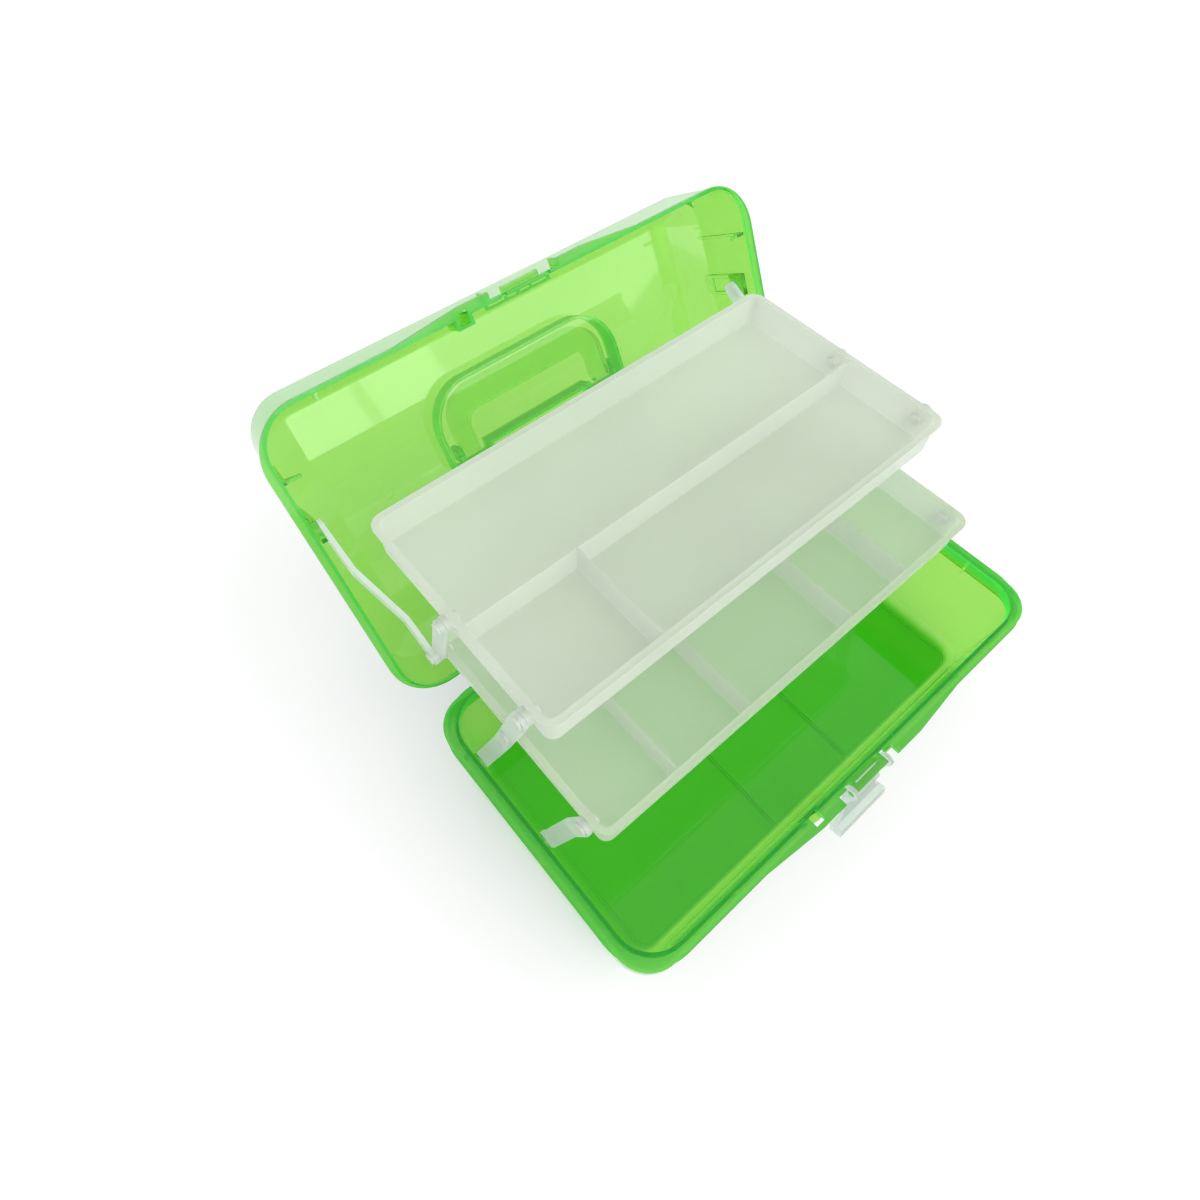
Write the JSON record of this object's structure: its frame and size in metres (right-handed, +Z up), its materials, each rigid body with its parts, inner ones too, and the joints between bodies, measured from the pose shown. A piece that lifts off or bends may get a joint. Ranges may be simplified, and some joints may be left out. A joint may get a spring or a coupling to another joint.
{
  "type": "cantilever toolbox",
  "caption": "Translucent plastic toolbox with a hinged lid, lift-out cantilever trays on folding side arms, a recessed carrying handle and a front latch.",
  "frame": {"origin": "middle of the foot plane, on the ground", "axes": "+X to the right along the length, +Y to the hinge side at the back, +Z up"},
  "size_m": [0.33, 0.3364, 0.219],
  "materials": {
    "green_plastic": "glossy translucent",
    "frosted_plastic": "frosted, natural",
    "clear_plastic": "clear",
    "steel_pin": "plain"
  },
  "bodies": {
    "base": {"base_shell": "green_plastic", "left_hinge_pin": "steel_pin", "right_hinge_pin": "steel_pin"},
    "lid": {"lid_shell": "green_plastic"},
    "handle": {"carry_handle": "green_plastic"},
    "latch": {"front_latch": "clear_plastic"},
    "long_arms": {"left_long_arm": "frosted_plastic", "right_long_arm": "frosted_plastic"},
    "short_arms": {"left_short_arm": "frosted_plastic", "right_short_arm": "frosted_plastic"},
    "lower_tray": {"lower_tray": "frosted_plastic", "left_lower_front_rivet": "frosted_plastic", "left_lower_middle_rivet": "frosted_plastic", "left_lower_rear_rivet": "frosted_plastic", "right_lower_front_rivet": "frosted_plastic", "right_lower_middle_rivet": "frosted_plastic", "right_lower_rear_rivet": "frosted_plastic"},
    "upper_tray": {"upper_tray": "frosted_plastic", "left_upper_front_rivet": "frosted_plastic", "left_upper_rear_rivet": "frosted_plastic", "right_upper_front_rivet": "frosted_plastic", "right_upper_rear_rivet": "frosted_plastic"},
    "rear_links": {"left_rear_link": "frosted_plastic", "right_rear_link": "frosted_plastic"},
    "lid_links": {"left_lid_link": "frosted_plastic", "right_lid_link": "frosted_plastic"}
  },
  "joints": [
    {"name": "lid_hinge", "type": "hinge", "parent": "base", "child": "lid", "pos_m": [0, 0.09471, 0.06083], "axis": [1, 0, 0], "range_deg": [0, 119.2]},
    {"name": "long_arm_pivot", "type": "hinge", "parent": "base", "child": "long_arms", "pos_m": [0, 0.0585, 0.052], "axis": [1, 0, 0], "range_deg": [0, 47.5]},
    {"name": "short_arm_pivot", "type": "hinge", "parent": "base", "child": "short_arms", "pos_m": [0, 0, 0.052], "axis": [1, 0, 0], "range_deg": [0, 47.5]},
    {"name": "lower_tray_pivot", "type": "hinge", "parent": "long_arms", "child": "lower_tray", "pos_m": [0, 0.03851, 0.11353], "axis": [1, 0, 0], "range_deg": [-47.5, 0]},
    {"name": "upper_tray_pivot", "type": "hinge", "parent": "long_arms", "child": "upper_tray", "pos_m": [0, 0.0221, 0.16403], "axis": [1, 0, 0], "range_deg": [-47.5, 0]},
    {"name": "rear_link_pivot", "type": "hinge", "parent": "lower_tray", "child": "rear_links", "pos_m": [0, 0.0985, 0.11353], "axis": [1, 0, 0], "range_deg": [0, 47.5]},
    {"name": "lid_link_pivot", "type": "hinge", "parent": "lower_tray", "child": "lid_links", "pos_m": [0, 0.0985, 0.11353], "axis": [1, 0, 0], "range_deg": [0, 137.25]},
    {"name": "handle_hinge", "type": "hinge", "parent": "lid", "child": "handle", "pos_m": [0, 0.19633, 0.12628], "axis": [-1, 0, 0], "range_deg": [0, 90]},
    {"name": "latch_hinge", "type": "hinge", "parent": "base", "child": "latch", "pos_m": [0, -0.0915, 0.071], "axis": [-1, 0, 0], "range_deg": [0, 165]}
  ],
  "couplings": [
    {"joint": "long_arm_pivot", "follows": "lid_hinge", "ratio": 0.39849},
    {"joint": "short_arm_pivot", "follows": "lid_hinge", "ratio": 0.39849},
    {"joint": "lower_tray_pivot", "follows": "lid_hinge", "ratio": -0.39849},
    {"joint": "upper_tray_pivot", "follows": "lid_hinge", "ratio": -0.39849},
    {"joint": "rear_link_pivot", "follows": "lid_hinge", "ratio": 0.39849},
    {"joint": "lid_link_pivot", "follows": "lid_hinge", "ratio": 1.1514}
  ]
}
